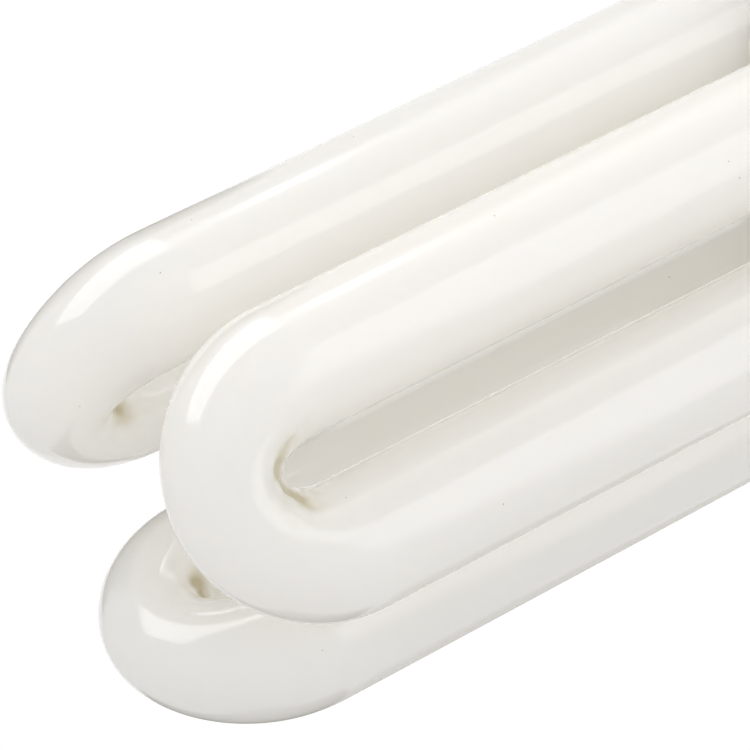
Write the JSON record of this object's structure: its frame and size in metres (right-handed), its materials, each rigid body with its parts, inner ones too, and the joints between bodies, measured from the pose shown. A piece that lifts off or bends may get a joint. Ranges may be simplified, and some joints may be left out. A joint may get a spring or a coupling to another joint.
{
  "type": "compact fluorescent lamp",
  "caption": "Compact fluorescent lamp: white U-bent glass tubes in a triangle on a moulded ballast case with a screw cap.",
  "frame": {"origin": "lowest point of the lamp, under the centre contact, on the lamp's axis", "axes": "+Z along the lamp from its cap to the tips of its tubes; the front tube faces -Y"},
  "size_m": [0.052, 0.052, 0.162],
  "materials": {
    "glass": "white phosphor seen through clear glossy glass",
    "cement": "dull lamp cement",
    "housing": "fine matt white moulding",
    "cap_metal": "rolled nickel-plated brass sheet",
    "insulator": "black insulating glass",
    "contact": "pressed brass",
    "solder": "dull tin solder",
    "red_wire": "insulated wire",
    "copper": "enamelled copper",
    "fuse_body": "coated resistor",
    "board": "paper laminate",
    "tinned": "tinned wire",
    "capacitor_sleeve": "shrunk sleeve",
    "ferrite": "sintered ferrite",
    "bobbin": "moulded bobbin",
    "black_sleeve": "shrunk sleeve",
    "black_mould": "moulded epoxy",
    "film_red": "boxed film part",
    "chip": "chip resistor",
    "diac_glass": "small glass part"
  },
  "bodies": {
    "root": {"front_u_tube": "glass", "left_u_tube": "glass", "right_u_tube": "glass", "left_bridge": "glass", "right_bridge": "glass", "tube_cement": "cement", "tube_holder": "housing", "ballast_case": "housing", "screw_shell": "cap_metal", "cap_insulator": "insulator", "centre_contact": "contact", "contact_solder": "solder", "live_wire": "red_wire", "neutral_wire": "copper", "fuse_resistor": "fuse_body", "circuit_board": "board", "terminal_pins": "tinned", "left_lead_wires": "tinned", "right_lead_wires": "tinned", "electrolytic_capacitor": "capacitor_sleeve", "choke_core": "ferrite", "choke_bobbin": "bobbin", "choke_winding": "copper", "filter_choke": "black_sleeve", "drive_ring": "ferrite", "drive_windings": "copper", "transistor_1": "black_mould", "transistor_2": "black_mould", "resonant_capacitor": "film_red", "blocking_capacitor": "film_red", "start_capacitor": "film_red", "bridge_rectifier": "black_mould", "chip_resistors": "chip", "diac": "diac_glass"}
  },
  "joints": []
}
